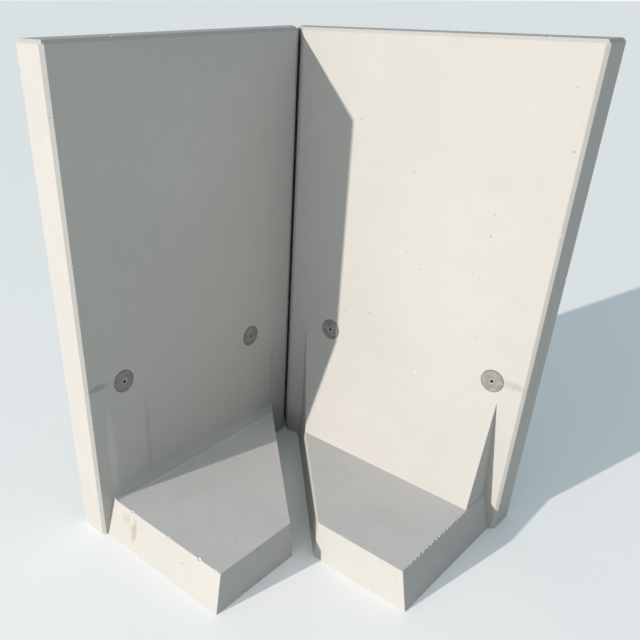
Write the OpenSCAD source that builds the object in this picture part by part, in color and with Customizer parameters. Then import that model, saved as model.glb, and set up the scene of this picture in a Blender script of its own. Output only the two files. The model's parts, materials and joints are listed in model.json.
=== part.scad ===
// Corner of a precast concrete retaining wall: two L-shaped castings that meet at a mitred joint.
// Each casting is an upright panel with a foot reaching back under the retained earth.
// Millimetres, Z up, ground at Z 0. The right leg runs along +X and the left leg along -Y.
// Each casting is drawn along its own leg: X from the inner corner outward, Y out of the inner face.

/* [Panels] */

// Height of the panels above the ground
wall_height = 1550; // [900:10:2400]
// Length of each leg on its fair face, from the outer corner to the free end
leg_length = 1095; // [800:5:2000]
// Thickness of each panel
panel_thickness = 120; // [90:5:180]
// Width of the bevel along every arris of a panel
arris_bevel = 10; // [4:1:16]
// Open gap between the two mitred ends
joint_gap = 10; // [4:1:20]

/* [Feet] */

// Reach of the foot from the inner face, at its top
foot_reach = 530; // [300:10:760]
// Thickness of the foot
foot_thickness = 135; // [100:5:200]
// How much further the foot reaches at the ground than at its top
foot_front_splay = 15; // [0:1:40]
// Bare margin of panel beside the foot at the free end, at the top of the foot
foot_end_margin = 54; // [30:1:90]
// The same margin at the ground
foot_end_margin_ground = 18; // [10:1:28]
// Distance from the inner corner to the mitred side of the foot, at the top of the foot
foot_corner_margin = 90; // [60:1:120]
// The same distance at the ground
foot_corner_margin_ground = 76; // [40:1:58]
// Angle of the foot's mitred side, measured from square to the panel
foot_mitre_angle = 43.7; // [40:0.1:46]
// Radius of the cove between the left panel and its foot
cove_radius = 35; // [15:1:60]

/* [Haunch on the right casting] */

// Reach of the haunch from the inner face, where it meets the foot
haunch_reach = 132; // [80:1:180]
// Bare panel between the thin upper edge of the haunch and the lower disc above it
haunch_below_disc = 5; // [2:1:40]
// Ledge of the foot left beside the haunch at the free end
haunch_ledge = 4; // [1:1:12]
// How much the end of the haunch leans inward over its height
haunch_end_lean = 25; // [0:1:50]

/* [Lifting sockets] */

// Distance from the free end of the left panel to its outer socket
left_outer_socket_inset = 147; // [80:1:200]
// Height of the left outer socket
left_outer_socket_height = 562; // [480:1:760]
// Distance from the inner corner to the left inner socket
left_inner_socket_offset = 226; // [150:1:300]
// Height of the left inner socket
left_inner_socket_height = 520; // [420:1:760]
// Distance from the free end of the right panel to its outer socket
right_outer_socket_inset = 113; // [80:1:200]
// Height of the right outer socket
right_outer_socket_height = 562; // [480:1:760]
// Distance from the inner corner to the right inner socket
right_inner_socket_offset = 208; // [150:1:300]
// Height of the right inner socket
right_inner_socket_height = 538; // [420:1:760]
// Bore of a socket, the core diameter of its thread
socket_bore = 10.2; // [8:0.1:14]
// Wall of the steel sleeve
socket_wall = 3.4; // [2:0.1:5]
// Length of the sleeve inside the concrete
socket_length = 60; // [30:1:70]
// Thickness of the closed end of the sleeve
socket_end = 8; // [4:1:12]

/* [Discs around the sockets] */

// Diameter of the plastic disc left in the face
disc_diameter = 78; // [50:1:100]
// Depth of the seat that holds the disc
disc_seat = 4; // [2:0.5:8]
// Height of the rim above the panel
disc_rim_height = 0.8; // [0.4:0.1:2]
// Height of the middle above the panel
disc_middle_height = 4; // [2:0.1:8]
// Number of raised rings on the disc
disc_rings = 4; // [2:1:6]
// Width of a raised ring
ring_width = 1.6; // [0.8:0.1:2.4]
// Height of a raised ring
ring_height = 0.7; // [0.3:0.1:1.5]

/* [Hidden] */

$fn = 96;
// Length of a leg on the inner face
inner_length = leg_length - panel_thickness;
// Distance of each mitred end from the corner line, measured along the face
joint_setback = joint_gap / sqrt(2);
// Leg of a bevel laid along a sloping end
bevel_slant = arris_bevel / sqrt(2);
// How far one solid runs into the next one it is joined to
overlap = panel_thickness / 4;
// A block larger than a whole casting, for trimming
trim = 3 * max(wall_height, leg_length);
// Lean of the foot's end and of its mitred side, from upright
foot_end_lean_angle = atan((foot_end_margin - foot_end_margin_ground) / foot_thickness);
foot_corner_lean_angle =
    atan((foot_corner_margin - foot_corner_margin_ground) * cos(foot_mitre_angle) / foot_thickness);
// Height of the haunch's thin upper edge, and the lean of its end
disc_radius = disc_diameter / 2;
haunch_top =
    min(right_outer_socket_height, right_inner_socket_height) - disc_radius - haunch_below_disc;
haunch_end_margin = foot_end_margin + haunch_ledge;
haunch_end_lean_angle = atan(haunch_end_lean / (haunch_top - foot_thickness));
// Sleeve and disc sizes
socket_radius = socket_bore / 2 + socket_wall;
// Slack left around a piece that sits in a hole
seat_slack = 0.2;
ring_pitch = (disc_radius - socket_radius) / (disc_rings + 1);

concrete_color = [0.85, 0.84, 0.79];
disc_color = [0.62, 0.62, 0.6];
steel_color = [0.5, 0.51, 0.52];

// Positions of the sockets along the leg and up the face
left_outer_spot = [inner_length - left_outer_socket_inset, left_outer_socket_height];
left_inner_spot = [left_inner_socket_offset, left_inner_socket_height];
right_inner_spot = [right_inner_socket_offset, right_inner_socket_height];
right_outer_spot = [inner_length - right_outer_socket_inset, right_outer_socket_height];

// Moves a casting from its own leg to its place in the wall.
module on_left_leg()
    translate([panel_thickness - leg_length / 2, leg_length / 2 - panel_thickness, 0])
        rotate([0, 0, -90])
            children();

module on_right_leg()
    translate([panel_thickness - leg_length / 2, leg_length / 2 - panel_thickness, 0])
        mirror([0, 1, 0])
            children();

// Puts a piece whose axis is Z on the inner face, pointing out of it.
module at_spot(spot)
    translate([spot[0], 0, spot[1]])
        rotate([-90, 0, 0])
            children();

// Outline of a panel seen from above: a mitred end at the corner, bevelled arrises.
module panel_outline()
    polygon([
        [joint_setback + arris_bevel, 0],
        [inner_length - arris_bevel, 0],
        [inner_length, -arris_bevel],
        [inner_length, arris_bevel - panel_thickness],
        [inner_length - arris_bevel, -panel_thickness],
        [joint_setback + arris_bevel - panel_thickness, -panel_thickness],
        [joint_setback + bevel_slant - panel_thickness, bevel_slant - panel_thickness],
        [joint_setback - bevel_slant, -bevel_slant],
    ]);

// Square bar laid along a top edge, turned on its corner so that it takes off the bevel.
module top_bevel_bar(along, angle)
    translate([along[0], along[1], wall_height])
        rotate([0, 0, angle])
            rotate([45, 0, 0])
                cube([trim, arris_bevel * sqrt(2), arris_bevel * sqrt(2)], center = true);

module panel()
    difference() {
        linear_extrude(height = wall_height) panel_outline();
        top_bevel_bar([0, 0], 0);
        top_bevel_bar([0, -panel_thickness], 0);
        top_bevel_bar([inner_length, 0], 90);
        top_bevel_bar([joint_setback, 0], 45);
    }

// Keeps what lies inside the free end of the foot, at a margin and a lean from the panel's end.
module trim_free_end(margin, height, lean)
    difference() {
        children();
        translate([inner_length - margin, 0, height])
            rotate([0, -lean, 0])
                translate([0, -trim / 2, -trim / 2])
                    cube(trim);
    }

// Keeps what lies beyond the mitred side of the foot.
module trim_mitred_side(margin, lean)
    difference() {
        children();
        translate([margin, 0, foot_thickness])
            rotate([0, 0, -foot_mitre_angle])
                rotate([0, lean, 0])
                    translate([-trim, -trim / 2, -trim / 2])
                        cube(trim);
    }

// Runs a section drawn in Y and Z along the leg.
module along_leg()
    rotate([90, 0, 90])
        linear_extrude(height = inner_length)
            children();

module foot()
    trim_free_end(foot_end_margin, foot_thickness, foot_end_lean_angle)
        trim_mitred_side(foot_corner_margin, foot_corner_lean_angle)
            along_leg()
                polygon([
                    [-overlap, 0],
                    [foot_reach + foot_front_splay, 0],
                    [foot_reach, foot_thickness],
                    [-overlap, foot_thickness],
                ]);

// Sloping thickening between the right panel and its foot.
module haunch()
    trim_free_end(haunch_end_margin, foot_thickness, haunch_end_lean_angle)
        trim_mitred_side(foot_corner_margin, 0)
            along_leg()
                polygon([
                    [-overlap, foot_thickness - overlap],
                    [haunch_reach, foot_thickness - overlap],
                    [haunch_reach, foot_thickness],
                    [0, haunch_top],
                    [-overlap, haunch_top],
                ]);

// Hollow curve between the left panel and its foot.
module cove()
    trim_free_end(foot_end_margin, foot_thickness, 0)
        trim_mitred_side(foot_corner_margin, 0)
            difference() {
                translate([0, -overlap, foot_thickness - overlap])
                    cube([inner_length, overlap + cove_radius, overlap + cove_radius]);
                translate([-overlap, cove_radius, foot_thickness + cove_radius])
                    rotate([0, 90, 0])
                        cylinder(h = inner_length + 2 * overlap, r = cove_radius);
            }

// Hole for a sleeve with a shallow seat for its disc.
module socket_hole()
    union() {
        translate([0, 0, -socket_length])
            cylinder(h = socket_length + 1, r = socket_radius + seat_slack);
        translate([0, 0, -disc_seat])
            cylinder(h = disc_seat + 1, r = disc_radius + seat_slack);
    }

module left_element()
    color(concrete_color)
        on_left_leg()
            difference() {
                union() {
                    panel();
                    foot();
                    cove();
                }
                at_spot(left_outer_spot) socket_hole();
                at_spot(left_inner_spot) socket_hole();
            }

module right_element()
    color(concrete_color)
        on_right_leg()
            difference() {
                union() {
                    panel();
                    foot();
                    haunch();
                }
                at_spot(right_inner_spot) socket_hole();
                at_spot(right_outer_spot) socket_hole();
            }

// Threaded steel sleeve, closed at its inner end, with its mouth level with the disc.
module socket()
    color(steel_color)
        difference() {
            translate([0, 0, -socket_length])
                cylinder(h = socket_length + disc_middle_height, r = socket_radius);
            translate([0, 0, socket_end - socket_length])
                cylinder(h = socket_length + disc_middle_height, r = socket_bore / 2);
        }

// Height of the domed face of a disc at a distance from its middle.
function disc_face(radius) =
    disc_middle_height
    - (disc_middle_height - disc_rim_height) * (radius - socket_radius) / (disc_radius - socket_radius);

// Shallow cone with raised rings around a hole for the sleeve.
module disc()
    color(disc_color)
        rotate_extrude()
            union() {
                polygon([
                    [socket_radius + seat_slack, -disc_seat],
                    [disc_radius, -disc_seat],
                    [disc_radius, disc_rim_height],
                    [socket_radius + seat_slack, disc_middle_height],
                ]);
                for (i = [1 : disc_rings])
                    translate([socket_radius + i * ring_pitch - ring_width / 2, -disc_seat / 2])
                        square([
                            ring_width,
                            disc_seat / 2 + disc_face(socket_radius + i * ring_pitch) + ring_height,
                        ]);
            }

module left_outer_socket() on_left_leg() at_spot(left_outer_spot) socket();
module left_inner_socket() on_left_leg() at_spot(left_inner_spot) socket();
module right_inner_socket() on_right_leg() at_spot(right_inner_spot) socket();
module right_outer_socket() on_right_leg() at_spot(right_outer_spot) socket();
module left_outer_disc() on_left_leg() at_spot(left_outer_spot) disc();
module left_inner_disc() on_left_leg() at_spot(left_inner_spot) disc();
module right_inner_disc() on_right_leg() at_spot(right_inner_spot) disc();
module right_outer_disc() on_right_leg() at_spot(right_outer_spot) disc();

left_element();
right_element();
left_outer_socket();
left_inner_socket();
right_inner_socket();
right_outer_socket();
left_outer_disc();
left_inner_disc();
right_inner_disc();
right_outer_disc();
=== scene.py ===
# %% [markdown]
# # Corner of a precast concrete retaining wall
# Two L-shaped castings stand at a right angle. Each has an upright panel and a foot that reaches back
# under the earth it will hold. Their ends are mitred and leave an open joint at the corner.
# Four threaded steel sleeves, two in each panel, take the lifting bolts, and a ringed plastic disc
# frames each sleeve mouth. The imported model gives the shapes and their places, and this file the looks.

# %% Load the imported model
import json
import math
import random

import bmesh
import bpy
from mathutils import Matrix, Vector, noise


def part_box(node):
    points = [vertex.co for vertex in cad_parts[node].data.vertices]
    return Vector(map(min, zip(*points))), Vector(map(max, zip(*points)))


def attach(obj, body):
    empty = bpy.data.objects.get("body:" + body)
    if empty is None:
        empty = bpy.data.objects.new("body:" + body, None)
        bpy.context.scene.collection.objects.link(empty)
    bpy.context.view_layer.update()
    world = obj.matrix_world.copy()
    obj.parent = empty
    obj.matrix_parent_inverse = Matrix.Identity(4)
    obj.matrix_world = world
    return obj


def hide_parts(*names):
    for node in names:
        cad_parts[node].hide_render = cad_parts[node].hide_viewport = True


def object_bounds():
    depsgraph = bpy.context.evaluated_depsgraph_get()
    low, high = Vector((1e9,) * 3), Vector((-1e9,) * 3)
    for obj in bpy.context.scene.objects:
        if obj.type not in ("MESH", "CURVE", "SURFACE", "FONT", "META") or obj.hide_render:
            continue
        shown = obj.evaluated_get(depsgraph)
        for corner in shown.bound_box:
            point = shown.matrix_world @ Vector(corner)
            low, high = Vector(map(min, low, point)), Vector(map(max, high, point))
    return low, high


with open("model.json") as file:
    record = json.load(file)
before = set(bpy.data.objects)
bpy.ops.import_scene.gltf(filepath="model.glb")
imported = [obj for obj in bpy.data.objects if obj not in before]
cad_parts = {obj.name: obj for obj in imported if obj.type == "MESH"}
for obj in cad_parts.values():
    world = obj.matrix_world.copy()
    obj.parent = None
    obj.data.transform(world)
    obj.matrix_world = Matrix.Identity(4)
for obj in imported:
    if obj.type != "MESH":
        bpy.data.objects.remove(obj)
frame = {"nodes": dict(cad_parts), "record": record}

scene = bpy.context.scene
cad_low, cad_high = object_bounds()
print("nodes:", sorted(frame["nodes"]))
print("box in metres:", [round(v, 4) for v in cad_low], [round(v, 4) for v in cad_high])

# %% Four sizes of the castings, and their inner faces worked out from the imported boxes
PANEL_THICKNESS = 0.120
FOOT_HEIGHT = 0.135
FOOT_REACH = 0.530
FOOT_INSET = 0.054

left_low, left_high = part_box("left_element")
right_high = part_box("right_element")[1]
left_face = left_low.x + PANEL_THICKNESS
right_face = right_high.y - PANEL_THICKNESS
print("inner faces at x =", round(left_face, 4), "and y =", round(right_face, 4))

# %% Sleeve mouths: where they sit and which way they face, read from the record's mounts
mouths = {}
for mount in frame["record"]["mounts"]:
    if mount["kind"] == "threaded_hole":
        mouths[mount["name"].replace("_thread", "")] = (Vector(mount["pos_m"]), Vector(mount["axis"]))
print("sleeve mouths:", {name: [round(v, 3) for v in place] for name, (place, facing) in mouths.items()})


# %% Helper: distance of a point from a line through a place
def off_axis(point, place, facing):
    aside = point - place
    return (aside - aside.dot(facing) * facing).length


# %% [markdown]
# ## Where to stand
# A wall like this is looked at by a person who stands inside the angle, a little above its top edge.
# The camera is placed in metres and turned with three angles. A small lens shift frames the object
# without tilting it, so upright edges keep the lean that they have from this standpoint.

# %% Camera
camera_data = bpy.data.cameras.new("standpoint")
camera_data.sensor_width = 36.0
camera_data.lens = 39.05
LOOK_DOWN, TURN_LEFT = 30.73, 43.82
camera_data.shift_x = 0.1252
camera_data.shift_y = 0.1301
camera = bpy.data.objects.new("standpoint", camera_data)
camera.location = (1.2103, -1.5638, 1.6515)
camera.rotation_euler = (math.radians(90.0 - LOOK_DOWN), 0.0, math.radians(TURN_LEFT))
scene.collection.objects.link(camera)
scene.camera = camera
scene.view_settings.view_transform = "Standard"
print("camera stands", round((camera.location - (cad_low + cad_high) / 2).length, 2), "m from the middle")

# %% [markdown]
# ## A small language for shader nodes
# Materials are graphs of nodes. Setting each socket by hand takes many lines, so one helper makes a node,
# fills its sockets by name and links any value that is itself a socket. The other helpers are short
# names for the nodes that are used most: sums, mixes of two colours, a remap of a range and a bump.


# %% Helpers that place and link nodes
def node(tree, kind, sockets=None, **settings):
    made = tree.nodes.new(kind)
    for key, value in settings.items():
        setattr(made, key, value)
    for key, value in (sockets or {}).items():
        if isinstance(value, bpy.types.NodeSocket):
            tree.links.new(value, made.inputs[key])
        else:
            made.inputs[key].default_value = value
    return made


def maths(tree, operation, first, second=0.0, clamp=False):
    made = node(tree, "ShaderNodeMath", {0: first, 1: second}, operation=operation, use_clamp=clamp)
    return made.outputs[0]


def blend_colours(tree, factor, first, second, way="MIX"):
    mix = node(tree, "ShaderNodeMix", {0: factor, 6: first, 7: second}, data_type="RGBA", blend_type=way)
    return mix.outputs[2]


def remap(tree, value, low, high, to_low=0.0, to_high=1.0):
    sockets = {"Value": value, "From Min": low, "From Max": high, "To Min": to_low, "To Max": to_high}
    return node(tree, "ShaderNodeMapRange", sockets, interpolation_type="SMOOTHSTEP").outputs["Result"]


def bump(tree, height, strength, distance, under=None):
    sockets = {"Height": height, "Strength": strength, "Distance": distance}
    if under is not None:
        sockets["Normal"] = under
    return node(tree, "ShaderNodeBump", sockets).outputs[0]


# %% Helper that starts a node group with named inputs and outputs
def start_group(name, inputs, outputs):
    tree = bpy.data.node_groups.new(name, "ShaderNodeTree")
    for label, kind, default in inputs:
        socket = tree.interface.new_socket(label, in_out="INPUT", socket_type="NodeSocket" + kind)
        if default is not None:
            socket.default_value = default
    for label in outputs:
        tree.interface.new_socket(label, in_out="OUTPUT", socket_type="NodeSocketFloat")
    return tree, tree.nodes.new("NodeGroupInput").outputs, tree.nodes.new("NodeGroupOutput").inputs


def use_group(tree, group, sockets):
    return node(tree, "ShaderNodeGroup", sockets, node_tree=group).outputs


# %% Helpers that start a material and connect what varies over its surface
def start_material(name):
    material = bpy.data.materials.new(name)
    material.use_nodes = True
    tree = material.node_tree
    place = node(tree, "ShaderNodeTexCoord").outputs["Object"]
    return material, tree, tree.nodes["Principled BSDF"], place


def drive(tree, shader, colour, roughness, normal):
    tree.links.new(colour, shader.inputs["Base Color"])
    tree.links.new(roughness, shader.inputs["Roughness"])
    tree.links.new(normal, shader.inputs["Normal"])


# %% [markdown]
# ## What makes concrete look like concrete
# A cast face is never one grey. Cement paste dries in clouds a hand or two wide, sand shows as a grain
# of about a millimetre, and air that was trapped against the mould leaves small round pores.
# Each of these effects is a node group, because the faces, the worn arrises and the broken spots
# all use them with their own sizes.

# %% Clouds: soft patches of lighter and darker paste
clouds, given, result = start_group(
    "clouds", [("Place", "Vector", None), ("Size", "Float", 0.3), ("Contrast", "Float", 0.5)], ["Mask"]
)
per_metre = maths(clouds, "DIVIDE", 1.0, given["Size"])
broad = node(clouds, "ShaderNodeTexNoise", {"Vector": given["Place"], "Scale": per_metre, "Detail": 5.0,
                                            "Roughness": 0.58, "Distortion": 0.4})
centred = maths(clouds, "SUBTRACT", broad.outputs[0], 0.5)
spread = maths(clouds, "MULTIPLY", centred, given["Contrast"])
clouds.links.new(maths(clouds, "ADD", spread, 0.5, clamp=True), result["Mask"])
print("group:", clouds.name)

# %% Sand grain: fine tone and height from the sand in the paste
COARSE_SCALE = 0.17
FINE_SHARE = 0.6

grain, given, result = start_group(
    "sand_grain", [("Place", "Vector", None), ("Size", "Float", 0.0012)], ["Tone", "Height"]
)
per_metre = maths(grain, "DIVIDE", 1.0, given["Size"])
sand = node(grain, "ShaderNodeTexNoise", {"Vector": given["Place"], "Scale": per_metre, "Detail": 3.0,
                                          "Roughness": 0.7})
coarse = node(grain, "ShaderNodeTexNoise", {"Vector": given["Place"], "Detail": 2.0,
                                            "Scale": maths(grain, "MULTIPLY", per_metre, COARSE_SCALE)})
grain.links.new(maths(grain, "ADD", maths(grain, "MULTIPLY", sand.outputs[0], FINE_SHARE),
                      maths(grain, "MULTIPLY", coarse.outputs[0], 1.0 - FINE_SHARE)), result["Tone"])
grain.links.new(sand.outputs[0], result["Height"])
print("group:", grain.name)

# %% Air pores: round pits of many sizes, some of them left out so that they don't form a pattern
FEWER_LARGE = 1.6
LEAST_RADIUS = 0.00002
PIT_RIM = 0.45

pores, given, result = start_group(
    "air_pores",
    [("Place", "Vector", None), ("Spacing", "Float", 0.02), ("Radius", "Float", 0.002),
     ("Share", "Float", 0.5)],
    ["Mask", "Height"],
)
cells = node(pores, "ShaderNodeTexVoronoi", {"Vector": given["Place"],
                                             "Scale": maths(pores, "DIVIDE", 1.0, given["Spacing"])})
chance = node(pores, "ShaderNodeSeparateColor", {"Color": cells.outputs["Color"]}).outputs
reach = maths(pores, "MULTIPLY", cells.outputs["Distance"], given["Spacing"])
radius = maths(pores, "MULTIPLY", given["Radius"], maths(pores, "POWER", chance[0], FEWER_LARGE))
present = maths(pores, "LESS_THAN", chance[1], given["Share"])
outward = maths(pores, "DIVIDE", reach, maths(pores, "ADD", radius, LEAST_RADIUS))
inside = maths(pores, "SUBTRACT", 1.0, outward)
pit = maths(pores, "MULTIPLY", remap(pores, inside, 0.0, PIT_RIM), present)
pores.links.new(pit, result["Mask"])
pores.links.new(maths(pores, "SUBTRACT", 1.0, pit), result["Height"])
print("group:", pores.name)

# %% Smudge: a soft ragged patch round one point, for stains, rubbed places and mould marks
TEARS_PER_METRE = 45.0
SOLID_WITHIN = 0.35

smudge, given, result = start_group(
    "smudge",
    [("Place", "Vector", None), ("Centre", "Vector", (0.0, 0.0, 0.0)), ("Reach", "Vector", (0.1, 0.1, 0.1)),
     ("Ragged", "Float", 0.5)],
    ["Mask"],
)
away = node(smudge, "ShaderNodeVectorMath", {0: given["Place"], 1: given["Centre"]}, operation="SUBTRACT")
scaled = node(smudge, "ShaderNodeVectorMath", {0: away.outputs[0], 1: given["Reach"]}, operation="DIVIDE")
distance = node(smudge, "ShaderNodeVectorMath", {0: scaled.outputs[0]}, operation="LENGTH").outputs["Value"]
torn = node(smudge, "ShaderNodeTexNoise", {"Vector": given["Place"], "Scale": TEARS_PER_METRE, "Detail": 5.0,
                                           "Roughness": 0.65})
offset = maths(smudge, "MULTIPLY", maths(smudge, "SUBTRACT", torn.outputs[0], 0.5), given["Ragged"])
smudge.links.new(remap(smudge, maths(smudge, "ADD", distance, offset), 1.0, SOLID_WITHIN), result["Mask"])
print("group:", smudge.name)

# %% [markdown]
# ## Concrete
# One recipe serves every concrete surface. It lays two paste colours in clouds, adds sand, pores and
# pale lime bloom, and lets the same values drive the roughness and the bump. The pores are darkened in
# colour as painted shade in the pits. A moulded face is pale and nearly smooth, the top of a foot was
# floated by hand and is pitted, an arris is rubbed, a broken spot shows bare rough paste, and the inside
# of an air hole is painted dark as shade.


# %% Concrete recipe
WIDE_CLOUD, NEAR_CLOUD, BLOOM_CLOUD = 0.42, 0.06, 0.17
WIDE_SHARE, NEAR_SHARE = 0.62, 0.38
GRAIN_SIZE = 0.0011
SMALL_PORE_SPACING, LARGE_PORE_SPACING = 0.011, 0.037
DENT_DEPTH, PIT_DEPTH = 0.0012, 0.0012
DARK_SAND = (0.300, 0.288, 0.262, 1.0)
PALE_SAND = (0.500, 0.492, 0.465, 1.0)
LIME_BLOOM = (0.452, 0.446, 0.428, 1.0)
PAINTED_PORE_SHADE = (0.100, 0.097, 0.090, 1.0)


def concrete(name, pale, deep, grain_height, pore_share, pore_radius, roughness):
    material, tree, shader, place = start_material(name)
    wide = use_group(tree, clouds, {"Place": place, "Size": WIDE_CLOUD, "Contrast": 1.5})["Mask"]
    near = use_group(tree, clouds, {"Place": place, "Size": NEAR_CLOUD, "Contrast": 1.3})["Mask"]
    tone = maths(tree, "ADD", maths(tree, "MULTIPLY", wide, WIDE_SHARE),
                 maths(tree, "MULTIPLY", near, NEAR_SHARE))
    colour = blend_colours(tree, tone, deep, pale)
    sand_out = use_group(tree, grain, {"Place": place, "Size": GRAIN_SIZE})
    colour = blend_colours(tree, remap(tree, sand_out["Tone"], 0.58, 0.74, 0.0, 0.22), colour, DARK_SAND)
    colour = blend_colours(tree, remap(tree, sand_out["Tone"], 0.44, 0.30, 0.0, 0.25), colour, PALE_SAND)
    bloom = use_group(tree, clouds, {"Place": place, "Size": BLOOM_CLOUD, "Contrast": 3.0})["Mask"]
    colour = blend_colours(tree, remap(tree, bloom, 0.55, 1.0, 0.0, 0.22), colour, LIME_BLOOM)
    small = use_group(tree, pores, {"Place": place, "Spacing": SMALL_PORE_SPACING, "Radius": pore_radius,
                                    "Share": pore_share})
    large = use_group(tree, pores, {"Place": place, "Spacing": LARGE_PORE_SPACING,
                                    "Radius": pore_radius * 1.8, "Share": pore_share * 0.8})
    hollow = maths(tree, "MAXIMUM", small["Mask"], large["Mask"])
    # Pores are darkened in colour here: painted shade inside the pits.
    colour = blend_colours(tree, maths(tree, "MULTIPLY", hollow, 0.62), colour, PAINTED_PORE_SHADE)
    rough = maths(tree, "ADD", maths(tree, "MULTIPLY", near, 0.12), roughness - 0.06)
    grains = bump(tree, sand_out["Height"], 0.55, grain_height)
    dents = bump(tree, near, 0.35, DENT_DEPTH, under=grains)
    level = maths(tree, "MULTIPLY", small["Height"], large["Height"])
    drive(tree, shader, colour, rough, bump(tree, level, 0.9, PIT_DEPTH, under=dents))
    shader.inputs["Specular IOR Level"].default_value = 0.3
    return material


# %% The five concrete finishes
moulded = concrete("moulded_face", pale=(0.435, 0.424, 0.397, 1.0), deep=(0.392, 0.384, 0.360, 1.0),
                   grain_height=0.00025, pore_share=0.42, pore_radius=0.0011, roughness=0.82)
floated = concrete("floated_top", pale=(0.580, 0.572, 0.560, 1.0), deep=(0.505, 0.500, 0.492, 1.0),
                   grain_height=0.0005, pore_share=0.70, pore_radius=0.0018, roughness=0.9)
rubbed = concrete("rubbed_arris", pale=(0.450, 0.440, 0.410, 1.0), deep=(0.390, 0.382, 0.358, 1.0),
                  grain_height=0.0005, pore_share=0.30, pore_radius=0.0010, roughness=0.88)
broken = concrete("broken_paste", pale=(0.680, 0.672, 0.645, 1.0), deep=(0.430, 0.422, 0.400, 1.0),
                  grain_height=0.0012, pore_share=0.75, pore_radius=0.0014, roughness=0.95)
# The inside of an air hole gets a dark concrete: painted shade in the hole.
shaded_air_hole_finish = concrete("air_hole_inside", pale=(0.220, 0.215, 0.200, 1.0), deep=(0.140, 0.137, 0.128, 1.0),
                    grain_height=0.0005, pore_share=0.20, pore_radius=0.0008, roughness=0.92)
finishes = [moulded, floated, rubbed, broken, shaded_air_hole_finish]
MOULDED, FLOATED, RUBBED, BROKEN, SHADED_AIR_HOLE = range(5)
print("concrete finishes:", [m.name for m in finishes])

# %% [markdown]
# ## Marks on the moulded faces
# A wall keeps traces of how it was made and moved. Grey rubs sit beside the outer sleeves, rust bleeds
# through the side of one foot, faint upright lines stay on the left panel, and lime dries in wide pale
# patches. Each mark is one smudge laid over the finished colour. Its place counts from a casting's
# free end and from the floor, so that a mark stays where it belongs if the casting moves.


# %% Helpers that place one mark and lay it over the colour below
def on_left(along, up):
    return Vector((left_face, left_low.y + along, up))


def on_right(along, up):
    return Vector((right_high.x - along, right_face, up))


marks_place = node(moulded.node_tree, "ShaderNodeTexCoord").outputs["Object"]


def mark(centre, reach, ragged, strength, tint):
    tree = moulded.node_tree
    shader = tree.nodes["Principled BSDF"]
    under = shader.inputs["Base Color"].links[0].from_socket
    shape = {"Place": marks_place, "Centre": centre, "Reach": reach, "Ragged": ragged}
    mask = use_group(tree, smudge, shape)["Mask"]
    over = blend_colours(tree, maths(tree, "MULTIPLY", mask, strength), under, tint)
    tree.links.new(over, shader.inputs["Base Color"])


# %% Lay the marks, each with its reach along X, Y and Z
GREY = (0.200, 0.200, 0.195, 1.0)
RUST = (0.300, 0.215, 0.130, 1.0)
LIME = (0.560, 0.555, 0.540, 1.0)
foot_side = on_left(0.0375, 0.070) + Vector((0.1275, 0.0, 0.0))

mark(on_left(0.0475, 0.575), (0.03, 0.050, 0.016), ragged=1.6, strength=0.50, tint=GREY)
mark(on_right(0.0475, 0.570), (0.045, 0.03, 0.018), ragged=1.6, strength=0.35, tint=GREY)
mark(foot_side, (0.020, 0.03, 0.060), ragged=1.8, strength=0.55, tint=RUST)
mark(foot_side + Vector((-0.045, 0.010, 0.025)), (0.030, 0.03, 0.030), ragged=1.8, strength=0.25, tint=RUST)
# The three upright strips on the left panel are only paler and greyer tone along upright bands; the pale one
# takes the LIME tint for its colour alone.
mark(on_left(0.0725, 0.300), (0.01, 0.022, 0.240), ragged=0.5, strength=0.35, tint=LIME)
mark(on_left(0.2295, 0.300), (0.01, 0.014, 0.230), ragged=0.6, strength=0.22, tint=GREY)
mark(on_left(0.8775, 0.330), (0.01, 0.010, 0.200), ragged=0.6, strength=0.22, tint=GREY)
mark(on_left(0.4475, 1.250), (0.02, 0.380, 0.300), ragged=0.9, strength=0.10, tint=LIME)
mark(on_right(0.3975, 0.900), (0.300, 0.02, 0.420), ragged=0.9, strength=0.10, tint=LIME)
print("nodes in the moulded finish:", len(moulded.node_tree.nodes))

# %% [markdown]
# ## The castings
# Each casting is one solid lump, so it stays one piece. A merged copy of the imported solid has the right
# shape already but knife-sharp arrises, which concrete never keeps: paste rounds off where it touches
# the mould's corners and crumbles when the mould is struck. So every sharp edge is divided into short
# lengths, softened with a narrow bevel, and then nibbled back by a seeded noise within the faces
# beside it, which leaves the big faces perfectly flat.

# %% Helper: distance from the nearest sleeve's axis, within the panel that holds it
FAR_AWAY = 10.0
SLEEVE_ZONE = 0.08


def from_sleeve(point):
    nearest = FAR_AWAY
    for place, facing in mouths.values():
        if abs((point - place).dot(facing)) < SLEEVE_ZONE:
            nearest = min(nearest, off_axis(point, place, facing))
    return nearest


# %% Helper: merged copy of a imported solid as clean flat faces
MERGE_DISTANCE = 0.00001
FLAT_ANGLE = math.radians(0.3)


def merged_copy(name):
    bm = bmesh.new()
    bm.from_mesh(frame["nodes"][name].data)
    bmesh.ops.remove_doubles(bm, verts=bm.verts, dist=MERGE_DISTANCE)
    bmesh.ops.dissolve_limit(bm, angle_limit=FLAT_ANGLE, verts=bm.verts, edges=bm.edges)
    open_edges = sum(1 for e in bm.edges if not e.is_manifold)
    print(name, "faces:", len(bm.faces), "open edges:", open_edges)
    return bm


# %% Helpers: soften every sharp edge except those round a disc's seat
SEAT_REACH = 0.0405
SHARP_ANGLE = math.radians(15.0)


def sharp_edges(bm):
    return [e for e in bm.edges if e.is_manifold and e.calc_face_angle(0.0) > SHARP_ANGLE
            and min(from_sleeve(v.co) for v in e.verts) > SEAT_REACH]


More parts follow.
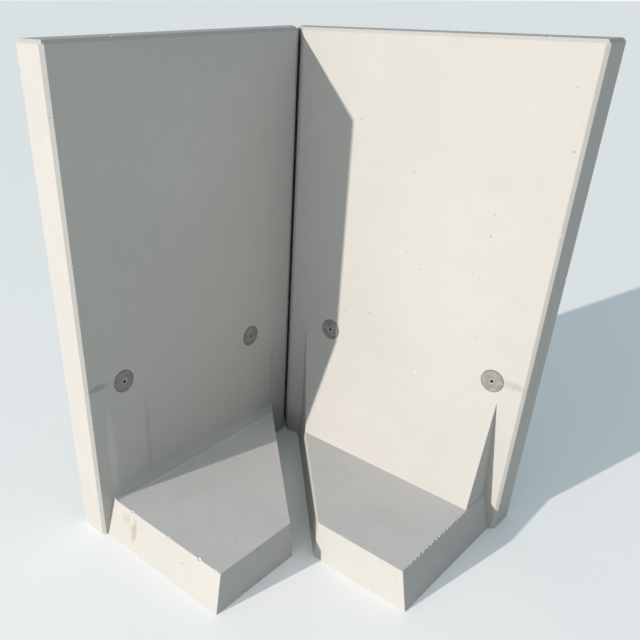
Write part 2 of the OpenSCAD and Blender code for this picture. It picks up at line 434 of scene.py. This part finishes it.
def soften(bm, step, width):
    cuts = {}
    for edge in sharp_edges(bm):
        cuts.setdefault(int(edge.calc_length() / step), []).append(edge)
    for count, edges in cuts.items():
        if count > 0:
            bmesh.ops.bisect_edges(bm, edges=edges, cuts=count)
    made = bmesh.ops.bevel(bm, geom=sharp_edges(bm), offset=width, offset_type="OFFSET", segments=2,
                           profile=0.5, affect="EDGES", clamp_overlap=True, material=-1)
    return set(made["faces"])


# %% Helper: how far an arris is worn back at a point, in metres
RIPPLE_DEPTH, NIBBLE_DEPTH = 0.0005, 0.011
NEAR_FLOOR = 0.004


def wear(point, seed):
    shifted = point + Vector((seed, seed, seed))
    ripple = 0.5 + 0.5 * noise.noise(shifted * 60.0)
    nibble = max(0.0, noise.noise(shifted * 130.0) - 0.32) * max(0.0, noise.noise(shifted * 9.0) + 0.35)
    rough_foot = 1.0 if point.z < NEAR_FLOOR else 0.45
    return RIPPLE_DEPTH * ripple + NIBBLE_DEPTH * nibble * rough_foot


# %% Helper: nibble the softened arrises without bending the flat faces
def nibble_arrises(bm, soft, seed):
    moves = {}
    for vert in {v for f in soft for v in f.verts}:
        worn = [f for f in vert.link_faces if f in soft]
        flat = [f for f in vert.link_faces if f not in soft]
        out = sum((f.normal * f.calc_area() for f in worn), Vector()).normalized()
        if len(flat) > 1:
            continue
        if flat:
            out = out - out.dot(flat[0].normal) * flat[0].normal
            if out.length < 0.05:
                continue
            out.normalize()
        moves[vert] = out * wear(vert.co, seed) * (1.0 if flat else 0.7)
    for vert, move in moves.items():
        vert.co -= move
    return len(moves)


# %% Build the two softened castings
ARRIS_STEP, ARRIS_WIDTH = 0.005, 0.0013
castings = {}
for side, seed in (("left", 3.1), ("right", 7.7)):
    bm = merged_copy(side + "_element")
    soft = soften(bm, ARRIS_STEP, ARRIS_WIDTH)
    bm.normal_update()
    print(side, "worn points:", nibble_arrises(bm, soft, seed))
    bm.normal_update()
    for face in bm.faces:
        if face in soft:
            face.material_index = RUBBED
        elif face.normal.z > 0.95 and face.calc_center_median().z < 2 * FOOT_HEIGHT:
            face.material_index = FLOATED
        else:
            face.material_index = MOULDED
    mesh = bpy.data.meshes.new(side + "_casting")
    bm.to_mesh(mesh)
    bm.free()
    for finish in finishes:
        mesh.materials.append(finish)
    casting = bpy.data.objects.new(side + "_casting", mesh)
    scene.collection.objects.link(casting)
    castings[side] = casting
    print(side, "faces:", len(mesh.polygons))

# %% [markdown]
# ## Knocks and air holes
# Handling knocks shallow bites out of the arrises, and the largest air holes are too deep for bump
# alone. Both are cut with one Boolean for each casting. The cutters are small lumpy balls: along the
# arrises for the knocks, and spread by area over the faces for the air holes. Cutters are spaced
# apart, which keeps the Boolean quick. Some draws of spots still come out empty, so each result is
# tested, and the next draw is tried where one isn't a closed lump.


# %% Helper: one lumpy ball as a cutter
def ball(cutter, centre, radius, index, lumpiness, detail):
    made = bmesh.ops.create_icosphere(cutter, subdivisions=detail, radius=radius,
                                      matrix=Matrix.Translation(centre))
    for vert in made["verts"]:
        away = vert.co - centre
        vert.co = centre + away * (1.0 + lumpiness * noise.noise(vert.co * (0.9 / radius)))
    for face in {f for v in made["verts"] for f in v.link_faces}:
        face.material_index = index
        face.smooth = True


# %% Helpers: points spread evenly over the flat faces, and points along the arrises
def spots_on_faces(mesh, chance, per_square_metre):
    mesh.calc_loop_triangles()
    spots = []
    for triangle in mesh.loop_triangles:
        if triangle.material_index == RUBBED:
            continue
        expected = triangle.area * per_square_metre
        for _ in range(int(expected) + (chance.random() < expected % 1.0)):
            a, b, c = (mesh.vertices[i].co for i in triangle.vertices)
            s, t = math.sqrt(chance.random()), chance.random()
            spots.append((a * (1 - s) + b * (s * (1 - t)) + c * (s * t), triangle.normal.copy()))
    return spots


def spots_on_arrises(mesh, chance, count):
    strips = [p for p in mesh.polygons if p.material_index == RUBBED]
    return [(p.center.copy(), p.normal.copy()) for p in chance.sample(strips, count)]


# %% Helper: cut the knocks and air holes
ARRIS_KNOCKS = 60
HOLES_PER_SQUARE_METRE = 75.0
LEAST_GAP, SEAT_MARGIN = 0.0004, 0.003


def cut_casting(casting, seed, extra_knocks):
    chance = random.Random(seed)
    mesh = casting.data
    cutter = bmesh.new()
    taken = []

    def clear(point, radius):
        free = all((point - other).length > radius + size + LEAST_GAP for other, size in taken)
        return free and from_sleeve(point) > SEAT_REACH + radius + SEAT_MARGIN

    for point, out, radius in extra_knocks:
        if clear(point, radius):
            ball(cutter, point + out * radius * 0.1, radius, BROKEN, 0.35, 3)
            taken.append((point, radius * 1.25))
    for point, out in spots_on_arrises(mesh, chance, ARRIS_KNOCKS):
        radius = 0.0018 + 0.0040 * chance.random() ** 2
        if clear(point, radius):
            ball(cutter, point + out * radius * 0.35, radius, BROKEN, 0.35, 2)
            taken.append((point, radius * 1.25))
    for point, out in spots_on_faces(mesh, chance, HOLES_PER_SQUARE_METRE):
        radius = 0.0007 + 0.0016 * chance.random() ** 3
        if clear(point, radius):
            # Air-hole cutters carry the dark finish, so each hole's inside shows painted shade.
            ball(cutter, point - out * radius * 0.15, radius, SHADED_AIR_HOLE, 0.25, 1)
            taken.append((point, radius * 1.15))
    cutter_mesh = bpy.data.meshes.new("cutter")
    cutter.to_mesh(cutter_mesh)
    cutter.free()
    for finish in finishes:
        cutter_mesh.materials.append(finish)
    tool = bpy.data.objects.new("cutter", cutter_mesh)
    scene.collection.objects.link(tool)
    cut = casting.modifiers.new("cut", "BOOLEAN")
    cut.operation, cut.solver, cut.object = "DIFFERENCE", "EXACT", tool
    bpy.context.view_layer.update()
    evaluated = casting.evaluated_get(bpy.context.evaluated_depsgraph_get())
    cut_mesh = bpy.data.meshes.new_from_object(evaluated)
    casting.modifiers.clear()
    casting.data = cut_mesh
    bpy.data.objects.remove(tool)
    return len(taken)


# %% Ragged arris along the right foot
RAGGED_KNOCKS = 70
LEAST_KNOCK, MORE_KNOCK = 0.0025, 0.0075
chance = random.Random(41)
right_knocks = []
for _ in range(RAGGED_KNOCKS):
    along = 0.25 + 0.75 * chance.random() ** 0.6
    spot = Vector((right_high.x - FOOT_INSET, right_face - FOOT_REACH * along, FOOT_HEIGHT))
    radius = LEAST_KNOCK + MORE_KNOCK * chance.random() ** 1.3 * along
    right_knocks.append((spot, Vector((0.7, 0.0, 0.7)), radius))
print("knocks on the right foot:", len(right_knocks))

# %% Three knocks on the left foot, each with its share of the foot's reach and its radius
FROM_TIP = 0.015
left_knocks = []
for along, radius in ((0.20, 0.006), (0.82, 0.007), (0.55, 0.004)):
    spot_x = left_high.x - FROM_TIP - FOOT_REACH * (1.0 - along)
    spot = Vector((spot_x, left_low.y + FOOT_INSET, FOOT_HEIGHT))
    left_knocks.append((spot, Vector((0.0, -0.7, 0.7)), radius))
print("knocks on the left foot:", len(left_knocks))


# %% Helper: is a mesh a closed lump of about the size it should be?
def is_whole(mesh, least_volume):
    bm = bmesh.new()
    bm.from_mesh(mesh)
    whole = len(bm.faces) > 0 and all(e.is_manifold for e in bm.edges) and bm.calc_volume() > least_volume
    bm.free()
    return whole


# %% Cut both castings, with another draw of spots where a Boolean doesn't come out closed
DRAWS = 6
LEAST_VOLUME = 0.2
for side, knocks, seed in (("left", left_knocks, 33), ("right", right_knocks, 12)):
    casting = castings[side]
    uncut = casting.data
    for attempt in range(DRAWS):
        casting.data = uncut.copy()
        cut_count = cut_casting(casting, seed + attempt, knocks)
        if is_whole(casting.data, LEAST_VOLUME):
            print(side, "cuts:", cut_count, "draw:", attempt, "faces:", len(casting.data.polygons))
            break
    else:
        casting.data = uncut
        print(side, "LEFT UNCUT: no draw came out as a closed lump")

# %% [markdown]
# ## Flat where it is flat
# Smooth shading rounds a bevel, and would also bend the light on a big flat face beside it. So every
# face is smooth, and an edge is marked sharp where the finish changes or the angle is wide.


# %% Helper: keep flat faces flat and curved ones smooth
FLAT_LIMIT, ROUND_LIMIT = math.radians(8.0), math.radians(50.0)


def set_shading(mesh):
    bm = bmesh.new()
    bm.from_mesh(mesh)
    for face in bm.faces:
        face.smooth = True
    for edge in bm.edges:
        if len(edge.link_faces) != 2:
            edge.smooth = False
            continue
        first, second = edge.link_faces
        same = first.material_index == second.material_index
        limit = FLAT_LIMIT if first.material_index in (MOULDED, FLOATED) else ROUND_LIMIT
        edge.smooth = same and edge.calc_face_angle(0.0) < limit
    bm.to_mesh(mesh)
    bm.free()


# %% Shade the castings and let each stand for its solid
for side, casting in castings.items():
    set_shading(casting.data)
    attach(casting, "root")
    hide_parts(side + "_element")
    print(side, "triangles:", sum(len(p.vertices) - 2 for p in casting.data.polygons))

# %% [markdown]
# ## The ringed discs
# A lifting sleeve is held to the mould by a plastic disc that stays in the face. Its front is a shallow
# cone with raised rings, and cement slurry has crept over it. A turned part is best made as a profile
# spun about its axis: half the section is drawn once as a chain of edges, and the spin makes every
# ring round and even. A profile that starts on the axis is left open there, because an edge on the
# axis would spin into nothing.

# %% Disc plastic, half hidden by a film of dried slurry
BARE_PLASTIC, SLURRY_FILM = (0.225, 0.223, 0.215, 1.0), (0.325, 0.312, 0.292, 1.0)
disc_finish, tree, shader, place = start_material("disc_plastic")
film = use_group(tree, clouds, {"Place": place, "Size": 0.022, "Contrast": 2.6})["Mask"]
fine = use_group(tree, grain, {"Place": place, "Size": 0.0007})
specks = use_group(tree, pores, {"Place": place, "Spacing": 0.006, "Radius": 0.0012, "Share": 0.6})
colour = blend_colours(tree, remap(tree, film, 0.35, 0.75), BARE_PLASTIC, SLURRY_FILM)
dusty = remap(tree, fine["Tone"], 0.35, 0.7, 0.0, 0.35)
colour = blend_colours(tree, dusty, colour, (0.170, 0.168, 0.160, 1.0))
speckled = maths(tree, "MULTIPLY", specks["Mask"], 0.7)
colour = blend_colours(tree, speckled, colour, (0.080, 0.079, 0.074, 1.0))
crust = bump(tree, film, 0.6, 0.0006, under=bump(tree, fine["Height"], 0.5, 0.0003))
drive(tree, shader, colour, remap(tree, film, 0.2, 0.8, 0.5, 0.85), crust)
shader.inputs["Specular IOR Level"].default_value = 0.4
print("material:", disc_finish.name)


# %% Painted shade: a dark finish for the grooves and ring flanks of the discs and the bore of the sleeves, standing in for the shade there
def painted_shade_finish(name, light, dark, roughness):
    material, tree, shader, place = start_material(name)
    mask = use_group(tree, clouds, {"Place": place, "Size": 0.012, "Contrast": 2.4})["Mask"]
    fine = use_group(tree, grain, {"Place": place, "Size": 0.0006})
    rough = remap(tree, mask, 0.2, 0.8, roughness - 0.1, roughness + 0.1)
    grains = bump(tree, fine["Height"], 0.5, 0.0003)
    drive(tree, shader, blend_colours(tree, mask, dark, light), rough, grains)
    return material


groove_painted_shade = painted_shade_finish("disc_groove_dirt", light=(0.200, 0.192, 0.178, 1.0), dark=(0.075, 0.073, 0.068, 1.0),
                   roughness=0.85)
bore_painted_shade = painted_shade_finish("sleeve_bore_grease", light=(0.020, 0.018, 0.016, 1.0), dark=(0.008, 0.008, 0.007, 1.0),
                   roughness=0.6)
print("dirt:", groove_painted_shade.name, bore_painted_shade.name)


# %% Helpers: turn a profile of (radius, height) points about an axis through a place
SEAM_DISTANCE = 0.000001
SOFT_TURN = math.radians(38.0)


def seated(place, facing):
    turn = Vector((0, 0, 1)).rotation_difference(facing).to_matrix().to_4x4()
    return Matrix.Translation(place) @ turn


def turned(name, profile, place, facing, steps):
    bm = bmesh.new()
    points = [bm.verts.new((radius, 0.0, height)) for radius, height in profile]
    chain = [bm.edges.new(pair) for pair in zip(points, points[1:])]
    if profile[0][0] > 0.0:
        chain.append(bm.edges.new((points[-1], points[0])))
    bmesh.ops.spin(bm, geom=points + chain, cent=(0, 0, 0), axis=(0, 0, 1), angle=math.tau, steps=steps,
                   use_merge=True, use_duplicate=False)
    bmesh.ops.remove_doubles(bm, verts=bm.verts, dist=SEAM_DISTANCE)
    bmesh.ops.recalc_face_normals(bm, faces=bm.faces)
    bmesh.ops.transform(bm, matrix=seated(place, facing), verts=bm.verts)
    for face in bm.faces:
        face.smooth = True
    for edge in bm.edges:
        edge.smooth = edge.calc_face_angle(0.0) < SOFT_TURN
    mesh = bpy.data.meshes.new(name)
    bm.to_mesh(mesh)
    bm.free()
    piece = bpy.data.objects.new(name, mesh)
    scene.collection.objects.link(piece)
    return piece


# %% Disc profile, in metres from the sleeve's axis and from the panel's face
HUB = 0.0085
GROOVE_INSET, GROOVE_DEPTH = 0.0021, 0.0012
RING_COUNT = 4
LOW_RING, HIGH_RING = (0.0005, 0.00025), (0.0008, 0.0007)


def disc_profile(outer, inner, seat, rim, middle):
    points = [(inner, -seat), (outer, -seat), (outer, rim - 0.0004), (outer - 0.0004, rim),
              (outer - 0.0012, rim), (outer - 0.0016, rim - GROOVE_DEPTH),
              (outer - GROOVE_INSET, rim - GROOVE_DEPTH), (outer - 0.0025, rim + 0.0002)]
    gap = (outer - HUB) / (RING_COUNT + 1)
    for ring in range(RING_COUNT, 0, -1):
        crest = HUB + ring * gap
        for radius, (width, lift) in ((crest + gap * 0.5, LOW_RING), (crest, HIGH_RING)):
            for offset, height in ((width * 1.5, 0.0), (width * 0.7, lift), (-width * 0.7, lift),
                                   (-width * 1.5, 0.0)):
                at = radius + offset
                face = middle - (middle - rim) * (at - HUB) / (outer - HUB)
                points.append((at, face + height))
    points += [(inner + 0.0012, middle), (inner, middle - 0.0006)]
    return points


# %% Make the four discs, with painted shade in the groove and on the steep flanks of the rings
DISC_SEAT, DISC_BORE = 0.004, 0.0087
RIM_HEIGHT, MIDDLE_HEIGHT = 0.0008, 0.004
STEEP = 0.86
for name, (place, facing) in mouths.items():
    low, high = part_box(name + "_disc")
    across = sorted(high - low)[2]
    panel_face = place - facing * DISC_SEAT
    profile = disc_profile(across / 2, DISC_BORE, DISC_SEAT, RIM_HEIGHT, MIDDLE_HEIGHT)
    disc = turned(name + "_ringed_disc", profile, panel_face, facing, 96)
    disc.data.materials.append(disc_finish)
    disc.data.materials.append(groove_painted_shade)
    for face in disc.data.polygons:
        from_axis = off_axis(face.center, panel_face, facing)
        # Faces that turn away from the sleeve's axis, and the outer groove, get the dark finish: painted
        # shade where less light falls.
        if face.normal.dot(facing) < STEEP or from_axis > across / 2 - GROOVE_INSET:
            face.material_index = 1
    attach(disc, "root")
    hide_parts(name + "_disc")
    print(disc.name, "across", round(across * 1000, 1), "mm, faces:", len(disc.data.polygons))

# %% [markdown]
# ## The threaded sleeves
# Behind each disc a steel sleeve reaches into the panel. Only its mouth shows, a thin bright ring round
# a dark bore, and the bore with its thread is painted near black as shade. The sleeve is turned like the
# disc, and the thread is a small ridge spun round and up at the same time, which gives a true helix.

# %% Dull zinc on steel, with paste on it
ZINC, DRY_PASTE = (0.34, 0.34, 0.335, 1.0), (0.40, 0.388, 0.355, 1.0)
sleeve_finish, tree, shader, place = start_material("sleeve_steel")
dusting = use_group(tree, clouds, {"Place": place, "Size": 0.006, "Contrast": 2.8})["Mask"]
fine = use_group(tree, grain, {"Place": place, "Size": 0.0005})
colour = blend_colours(tree, remap(tree, dusting, 0.4, 0.7), ZINC, DRY_PASTE)
rusty = remap(tree, fine["Tone"], 0.5, 0.75, 0.0, 0.6)
colour = blend_colours(tree, rusty, colour, (0.20, 0.15, 0.11, 1.0))
rough = remap(tree, dusting, 0.4, 0.7, 0.42, 0.8)
drive(tree, shader, colour, rough, bump(tree, fine["Height"], 0.4, 0.0002))
tree.links.new(remap(tree, dusting, 0.4, 0.7, 0.9, 0.1), shader.inputs["Metallic"])
print("material:", sleeve_finish.name)


# %% Helper: a helical ridge added to a turned sleeve
RIDGE_HEIGHT, RIDGE_ROOT, HALF_CREST = 0.0008, 0.0002, 0.0001
STEPS_A_TURN = 20


def add_thread(piece, place, facing, bore, pitch, start, turns):
    bm = bmesh.new()
    corners = ((bore + RIDGE_ROOT, 0, -pitch * 0.42), (bore - RIDGE_HEIGHT, 0, -HALF_CREST),
               (bore - RIDGE_HEIGHT, 0, HALF_CREST), (bore + RIDGE_ROOT, 0, pitch * 0.42))
    ridge = [bm.verts.new(corner) for corner in corners]
    section = bm.faces.new(ridge)
    bmesh.ops.spin(bm, geom=[section] + list(section.edges) + ridge, cent=(0, 0, 0), axis=(0, 0, 1),
                   dvec=(0, 0, pitch / STEPS_A_TURN), angle=math.tau * turns, steps=STEPS_A_TURN * turns)
    bmesh.ops.recalc_face_normals(bm, faces=bm.faces)
    bmesh.ops.transform(bm, matrix=seated(place - facing * start, facing), verts=bm.verts)
    bm.from_mesh(piece.data)
    bm.to_mesh(piece.data)
    bm.free()


# %% Make the four sleeves, with painted shade in the bore and on the thread
SLEEVE_RADIUS, BORE_RADIUS = 0.0085, 0.0051
END_THICKNESS = 0.008
for name, (place, facing) in mouths.items():
    low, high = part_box(name + "_socket")
    length = max(high - low)
    bore_end = END_THICKNESS - length
    profile = [(0.0, -length), (SLEEVE_RADIUS, -length), (SLEEVE_RADIUS, -0.0004),
               (SLEEVE_RADIUS - 0.0004, 0.0), (BORE_RADIUS + 0.0009, 0.0), (BORE_RADIUS, -0.0009),
               (BORE_RADIUS, bore_end + 0.002), (0.0, bore_end)]
    sleeve = turned(name + "_threaded_sleeve", profile, place, facing, 48)
    add_thread(sleeve, place, facing, BORE_RADIUS, pitch=0.00175, start=0.050, turns=27)
    sleeve.data.materials.append(sleeve_finish)
    sleeve.data.materials.append(bore_painted_shade)
    for face in sleeve.data.polygons:
        # Faces in the bore, the thread with them, get the near-black finish: painted shade inside the
        # sleeve.
        in_bore = off_axis(face.center, place, facing) < BORE_RADIUS + 0.0003
        if in_bore and (face.center - place).dot(facing) > bore_end - 0.001:
            face.material_index = 1
    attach(sleeve, "root")
    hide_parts(name + "_socket")
    print(sleeve.name, "long", round(length * 1000, 1), "mm, faces:", len(sleeve.data.polygons))

# %% [markdown]
# ## Floor and light
# The floor is a wide pale disc, large enough that its edge stays far from the wall on every side. The key
# light is low and warm and comes from behind the left leg, so that leg's inner face lies in shade and its
# shadow falls across the corner of the other one. An area light and the background soften that shade.

# %% Floor
FLOOR_RADIUS = 160.0
BELOW_FEET = 0.0005
floor_finish, tree, shader, place = start_material("floor")
haze = use_group(tree, clouds, {"Place": place, "Size": 1.2, "Contrast": 1.0})["Mask"]
tree.links.new(blend_colours(tree, haze, (0.935, 0.935, 0.93, 1.0), (0.955, 0.955, 0.95, 1.0)),
               shader.inputs["Base Color"])
shader.inputs["Roughness"].default_value = 0.9
bm = bmesh.new()
bmesh.ops.create_circle(bm, cap_ends=True, radius=FLOOR_RADIUS, segments=96,
                        matrix=Matrix.Translation((0.0, 0.0, cad_low.z - BELOW_FEET)))
mesh = bpy.data.meshes.new("floor")
bm.to_mesh(mesh)
bm.free()
floor = bpy.data.objects.new("floor", mesh)
floor.data.materials.append(floor_finish)
scene.collection.objects.link(floor)
print("floor is", 2 * FLOOR_RADIUS, "m across")

# %% Key light
KEY_DIRECTION = Vector((0.2326, 0.9412, -0.2451))
key_data = bpy.data.lights.new("key", "SUN")
key_data.energy = 4.35
key_data.angle = math.radians(0.9)
key_data.color = (1.0, 0.92, 0.86)
key = bpy.data.objects.new("key", key_data)
key.rotation_euler = KEY_DIRECTION.to_track_quat("-Z", "Y").to_euler()
scene.collection.objects.link(key)
print("key elevation:", round(math.degrees(math.asin(-KEY_DIRECTION.z)), 1), "degrees")

# %% Soft fill from the front, aimed at the middle of the wall
FILL_TARGET = Vector((0.1, 0.4, 0.8))
front_data = bpy.data.lights.new("front_fill", "AREA")
front_data.energy = 36.0
front_data.size = 3.0
front = bpy.data.objects.new("front_fill", front_data)
front.location = (0.6, -4.2, 1.9)
front.rotation_euler = (FILL_TARGET - front.location).to_track_quat("-Z", "Y").to_euler()
scene.collection.objects.link(front)
print("front fill:", front_data.energy, "W")

# %% Background: a cool fill for the wall, and a pale ground for the camera
world = bpy.data.worlds.new("fill")
scene.world = world
world.use_nodes = True
tree = world.node_tree
tree.nodes.clear()
seen = node(tree, "ShaderNodeBackground", {"Color": (0.95, 0.955, 0.96, 1.0), "Strength": 1.0})
lighting = node(tree, "ShaderNodeBackground", {"Color": (0.765, 0.92, 1.0, 1.0), "Strength": 0.53})
path = node(tree, "ShaderNodeLightPath")
mixed = node(tree, "ShaderNodeMixShader", {0: path.outputs["Is Camera Ray"], 1: lighting.outputs[0],
                                           2: seen.outputs[0]})
node(tree, "ShaderNodeOutputWorld", {"Surface": mixed.outputs[0]})
print("background strength on the wall:", round(lighting.inputs["Strength"].default_value, 2))
